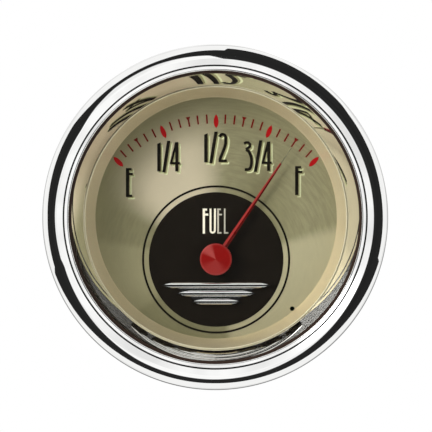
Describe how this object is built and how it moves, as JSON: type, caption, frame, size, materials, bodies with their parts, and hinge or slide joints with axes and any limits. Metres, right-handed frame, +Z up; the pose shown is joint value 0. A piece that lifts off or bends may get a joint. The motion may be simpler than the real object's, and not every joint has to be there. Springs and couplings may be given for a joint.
{
  "type": "fuel gauge",
  "caption": "Round panel-mounted fuel gauge with a chrome bezel, mirror ring, offset red pointer, rear terminals, push-in lamp and U clamp bracket.",
  "frame": {"origin": "centre of the panel hole on the plane where the bezel seats on the panel's face, on the barrel's axis", "axes": "+Y along the barrel's axis away from the driver, +Z up the dial, +X to the right as the driver sees it; the dial faces -Y"},
  "size_m": [0.0604, 0.0599, 0.0604],
  "materials": {
    "chrome": "polished",
    "lens_glass": "clear",
    "gasket_rubber": "matte",
    "mirror_metal": "polished",
    "satin_metal": "satin champagne",
    "case_steel": "zinc plated",
    "dial_metal": "brushed champagne",
    "black_ink": "matte ink",
    "red_ink": "printed ink",
    "trim_chrome": "polished",
    "pointer_red": "gloss",
    "hub_red": "turned, lacquered",
    "spindle_steel": "ground",
    "magnet": "sintered",
    "white_plastic": "moulded",
    "can_steel": "nickel plated",
    "bobbin_plastic": "moulded",
    "copper_wire": "enamelled copper",
    "brass": "turned",
    "jewel": "polished",
    "board": "glass-epoxy board",
    "resistor_body": "lacquered",
    "insulator_fibre": "vulcanised fibre",
    "zinc_steel": "zinc plated",
    "bracket_steel": "zinc plated sheet",
    "black_plastic": "moulded",
    "bulb_glass": "clear"
  },
  "bodies": {
    "root": {"bezel": "chrome", "lens": "lens_glass", "lens_gasket": "gasket_rubber", "mirror_ring": "mirror_metal", "satin_ring": "satin_metal", "case": "case_steel", "case_flange": "case_steel", "dial_plate": "dial_metal", "dial_print_black": "black_ink", "dial_print_red": "red_ink", "dial_trim": "trim_chrome", "light_cup": "white_plastic", "shield_can": "can_steel", "bobbin_lower": "bobbin_plastic", "bobbin_upper": "bobbin_plastic", "coil_inner": "copper_wire", "coil_outer": "copper_wire", "top_bearing": "brass", "pivot_jewel": "jewel", "circuit_board": "board", "resistors": "resistor_body", "terminal_studs": "brass", "terminal_insulators": "insulator_fibre", "terminal_washers": "zinc_steel", "terminal_nuts": "brass", "mounting_studs": "zinc_steel", "jam_washers": "zinc_steel", "jam_nuts": "zinc_steel"},
    "needle": {"pointer": "pointer_red", "hub_cap": "hub_red", "spindle": "spindle_steel", "rotor_magnet": "magnet"},
    "clamp": {"clamp_bracket": "bracket_steel", "lock_washers": "zinc_steel"},
    "nut_left": {"thumb_nut_left": "brass"},
    "nut_right": {"thumb_nut_right": "brass"},
    "lamp": {"lamp_holder": "black_plastic", "lamp_contacts": "brass", "lamp_bulb": "bulb_glass"}
  },
  "joints": [
    {"name": "pointer_turn", "type": "hinge", "parent": "root", "child": "needle", "pos_m": [0, 0, -0.0073], "axis": [0, 1, 0], "range_deg": [-81.1, 12.9]},
    {"name": "clamp_slide", "type": "slide", "parent": "root", "child": "clamp", "axis": [0, 1, 0], "range_m": [-0.0045, 0.005]},
    {"name": "nut_left_turn", "type": "hinge", "parent": "clamp", "child": "nut_left", "pos_m": [-0.0175, 0, 0], "axis": [0, 1, 0], "range_deg": [-2041, 2268]},
    {"name": "nut_right_turn", "type": "hinge", "parent": "clamp", "child": "nut_right", "pos_m": [0.0175, 0, 0], "axis": [0, 1, 0], "range_deg": [-2041, 2268]},
    {"name": "lamp_pull", "type": "slide", "parent": "root", "child": "lamp", "axis": [0, 1, 0], "range_m": [0, 0.026]}
  ],
  "couplings": [
    {"joint": "nut_left_turn", "follows": "clamp_slide", "rad_per_m": 7915.8},
    {"joint": "nut_right_turn", "follows": "clamp_slide", "rad_per_m": 7915.8}
  ]
}
